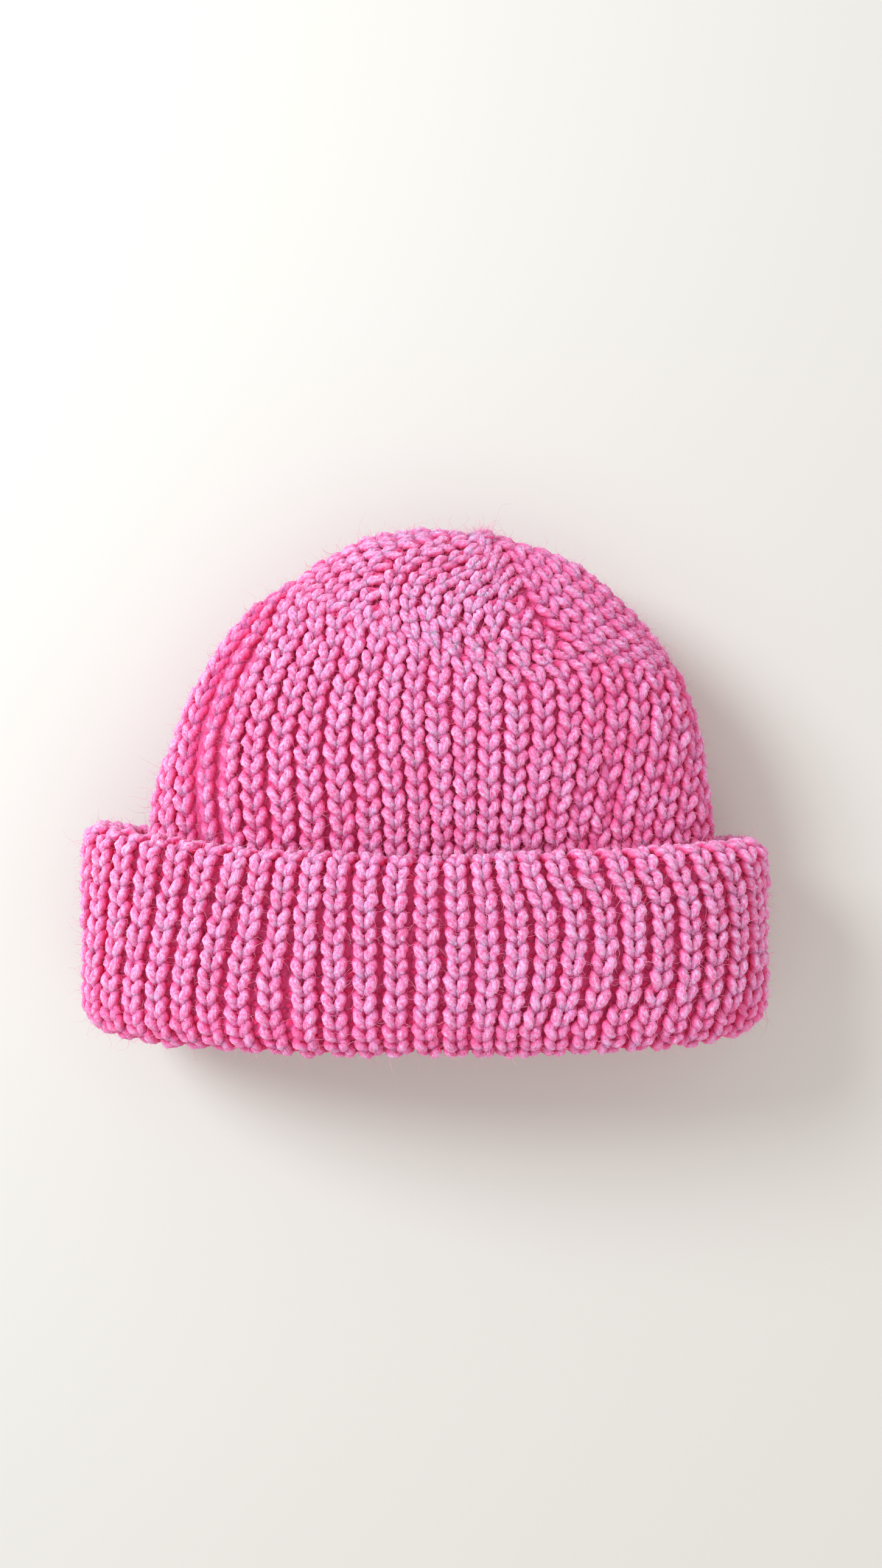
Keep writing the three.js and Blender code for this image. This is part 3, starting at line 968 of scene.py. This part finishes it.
def fluff(name, colour):
    """Loose wool fibres, paler than the yarn because light goes through them."""
    material = bpy.data.materials.new(name)
    material.use_nodes = True
    tree = material.node_tree
    shader = tree.nodes["Principled BSDF"]
    shader.inputs["Roughness"].default_value = 1.0
    shader.inputs["Specular IOR Level"].default_value = 0.1
    place = node(tree, "ShaderNodeTexCoord").outputs["Object"]
    darker = [c * 0.8 for c in colour]
    ramp = colour_ramp(tree, ((0.35, darker), (0.65, colour)))
    tree.links.new(noise(tree, place, 400, 2), ramp.inputs["Fac"])
    tree.links.new(ramp.outputs["Color"], shader.inputs["Base Color"])
    return material


FLUFF = fluff("loose_wool", (1.0, 0.40, 0.64))
WOOL = wool(
    "pink_wool",
    # valley: painted shade between the stitches
    valley=(0.98, 0.045, 0.19),
    middle=(0.95, 0.13, 0.36),
    crest=(0.97, 0.32, 0.63),
    # painted highlight colour of the pale fibres on the crests
    highlight_colour=(1.0, 0.72, 0.97),
    deep=(0.90, 0.07, 0.25),
)

# ---------------------------------------------------------------- the knitted pieces


def knit_band(name, part, first, rows, detail, rows_each=ROWS_EACH):
    """A stretch of rows that go all the way round, in pieces of a few rows."""
    *steps, sides = detail
    for start in range(0, rows, rows_each):
        stop = min(start + rows_each, rows)
        paths = [course(part, first + row, *steps) for row in range(start, stop)]
        piece = yarn_piece(f"{name}_rows_{start + 1}_to_{stop}", paths, sides, True)
        if start == 0:
            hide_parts(name)


def knit_brim(name, detail, rows_each=ROWS_EACH):
    knit_band(name, BRIM, FIRST_ROW[name], BRIM_ROWS[name], detail, rows_each)


def knit_inner_layer():
    """The layer inside the brim: its upper rows are short, and stop where the body's rows begin."""
    *steps, sides = INNER_LAYER
    rows = BRIM_ROWS["brim_inner_layer"]
    spacing = lengths_along(inner_layer_points(np.linspace(0, 1, 20)))[-1] / rows
    closed, short = [], []
    for row in range(rows):
        path = course(BRIM, FIRST_ROW["brim_inner_layer"] + row, *steps)
        spot = (path["turn"] * AROUND).astype(int) % AROUND
        room = (rows - row - 0.5) * spacing[spot] > HIDDEN[spot]
        if room.all():
            closed.append(path)
        elif room.any():
            short.append(stretch_of(path, room))
    piece = yarn_piece("brim_inner_layer_stitches", closed, sides, True)
    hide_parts("brim_inner_layer")
    yarn_piece("brim_inner_layer_short_rows", short, sides, False)


def knit_crown():
    """The crown's wedges, each between two decrease lines, and its last gathered rows."""
    *steps, sides = SEEN
    full = [course(BODY, row, *steps) for row in range(BODY_ROWS - CROWN_ROWS, BODY_ROWS)]
    for wedge in range(WEDGES):
        paths = []
        for path in full[:-GATHER_ROWS]:
            own = np.floor((path["turn"] - FIRST_LINE) % 1 * WEDGES) == wedge
            paths.append(stretch_of(path, own))
        piece = yarn_piece(f"crown_wedge_{wedge + 1}_stitches", paths, sides, False)
        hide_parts(f"crown_wedge_{wedge + 1}")
    gather = yarn_piece("crown_gather_stitches", full[-GATHER_ROWS:], sides, True)
    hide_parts("crown_gather")


def matted_fibres(name, part, first, last):
    """Felted fibres between the stitches: a thin wavy sheet near the middle of the fabric."""
    rows = np.arange(first, last, MAT_STEP)
    place = rows[:, None] / PER_ROW - LEAD_ROWS + 0 * TURN
    turn = TURN[None, :] + lean(part, TURN[None, :], place)
    points, normals = on_surface(part, turn, place)
    fades = smooth((BODY_ROWS - CROWN_ROWS - place) / 3) if part is BODY else 1 + 0 * place
    wave = MAT_WAVE * fades * np.cos(FULL_TURN * (RIBS * TURN - 0.5))
    wave += MAT_LUMP * rng.normal(size=wave.shape) + MAT_RISE
    half = MAT_THICKNESS / 2
    outside = points + (wave + half)[..., None] * normals
    inside = points + (wave - half)[..., None] * normals
    sheet = np.concatenate([outside, inside[::-1]])
    sheet[..., 2] = np.maximum(sheet[..., 2], FLOOR_GAP)
    count, around = sheet.shape[:2]
    faces = tube_faces(count, around, True, 0)[:, ::-1]
    along = np.arange(count)[:, None] * 5 * MAT_STEP / PER_ROW + 0 * sheet[..., 0]
    values = {
        # painted shade: the felted fibres take the dark end of the yarn's colour ramp
        "crest": [np.full((count * around, 1), MAT_SHADE)],
        "streak": [np.stack([along, sheet[..., 0], sheet[..., 2]], 2).reshape(-1, 3)],
    }
    finish_mesh(name, [sheet.reshape(-1, 3)], [faces], values, around, WOOL)


def drawn_yarn():
    """The yarn that draws the crown shut: a small ring of it, knotted over itself."""
    low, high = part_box("draw_in_yarn")
    tip = np.array((low + high) / 2) / MM
    _, outward = on_surface(BODY, np.zeros(1), np.array([BODY_ROWS - 0.2]))
    outward = outward[0]
    beside = np.cross(outward, (0, 0, 1))
    beside /= np.linalg.norm(beside)
    along = np.cross(outward, beside)
    turns = np.linspace(0, KNOT_TURNS, KNOT_STEPS)
    angle = FULL_TURN * turns
    # a ring whose width wavers and whose yarn climbs over itself
    reach = 2.6 + 0.6 * np.sin(2.5 * angle) - 0.5 * turns
    lift = 1.2 + 1.1 * np.sin(1.5 * angle) + 0.9 * turns
    centre = tip + (
        beside * (reach * np.cos(angle))[:, None]
        + along * (reach * np.sin(angle))[:, None]
        + outward * lift[:, None]
    )
    hops = np.linalg.norm(np.diff(centre, axis=0), axis=1)
    path = {
        "centre": centre,
        "normal": np.broadcast_to(outward, centre.shape),
        "middle": centre - KNOT_MIDDLE * outward,
        "radius": np.full(len(centre), KNOT_YARN),
        "open": np.ones(len(centre)),
        "length": np.concatenate([[0], np.cumsum(hops)]),
    }
    piece = yarn_piece("draw_in_yarn_knot", [path], SIDES, False, TUFT_SHARE)
    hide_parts("draw_in_yarn")


knit_brim("cast_on_edge", SEEN)
knit_brim("brim_outer_layer", SEEN)
knit_brim("brim_top_fold", SEEN)
knit_brim("brim_tucked_layer", TUCKED, BRIM_ROWS["brim_tucked_layer"])
knit_brim("brim_bottom_fold", BOTTOM_FOLD)
knit_inner_layer()
knit_band("hat_body", BODY, 0, BODY_ROWS - CROWN_ROWS, SEEN)
knit_crown()
drawn_yarn()
matted_fibres("brim_matted_fibres", BRIM, PER_ROW, len(BRIM) - 1)
matted_fibres("body_matted_fibres", BODY, PER_ROW, len(BODY) - 4)

roots = np.concatenate(ROOTS)
for i, share in enumerate(np.array_split(roots, max(1, len(roots) // FIBRES_EACH))):
    fuzz_piece(f"loose_fibres_{i + 1}", share, FLUFF)

# ---------------------------------------------------------------- floor, light and camera


def stage():
    """A plain pale floor, which isn't part of the hat."""
    bpy.ops.mesh.primitive_plane_add(size=6, location=(0, 0, 0))
    floor = bpy.context.object
    floor.name = "floor"
    material = bpy.data.materials.new("pale_floor")
    material.use_nodes = True
    shader = material.node_tree.nodes["Principled BSDF"]
    shader.inputs["Base Color"].default_value = (0.66, 0.64, 0.61, 1)
    shader.inputs["Roughness"].default_value = 0.8
    floor.data.materials.append(material)


def area_light(name, place, size, power, colour):
    """A round soft light that faces the hat."""
    data = bpy.data.lights.new(name, "AREA")
    data.shape = "DISK"
    data.size = size
    data.energy = power
    data.color = colour
    light = bpy.data.objects.new(name, data)
    light.location = place
    light.rotation_euler = (Vector(HAT_MIDDLE) - Vector(place)).to_track_quat("-Z", "Y").to_euler()
    bpy.context.scene.collection.objects.link(light)


CAMERA_PLACE = (5.9, 3.0, 410)
CAMERA_LENS = 26.19
HAT_MIDDLE = (0, 0, 0.03)


def camera():
    """Straight down from arm's length, as a phone held over the hat."""
    data = bpy.data.cameras.new("camera")
    data.sensor_fit = "VERTICAL"
    data.sensor_height = 36
    data.lens = CAMERA_LENS
    data.clip_start = 0.01
    seen_from = bpy.data.objects.new("camera", data)
    seen_from.location = Vector(CAMERA_PLACE) * MM
    bpy.context.scene.collection.objects.link(seen_from)
    bpy.context.scene.camera = seen_from


stage()
camera()
area_light("window", (-0.78, 0.5, 0.7), size=0.5, power=13, colour=(0.88, 0.97, 1.0))
area_light("fill", (0.5, -0.8, 1.1), size=1.2, power=2.2, colour=(1.0, 0.86, 0.78))
world = bpy.context.scene.world or bpy.data.worlds.new("world")
bpy.context.scene.world = world
world.use_nodes = True
world.node_tree.nodes["Background"].inputs["Color"].default_value = (1.0, 0.97, 0.95, 1)
world.node_tree.nodes["Background"].inputs["Strength"].default_value = 0.8
bpy.context.scene.view_settings.view_transform = "Standard"
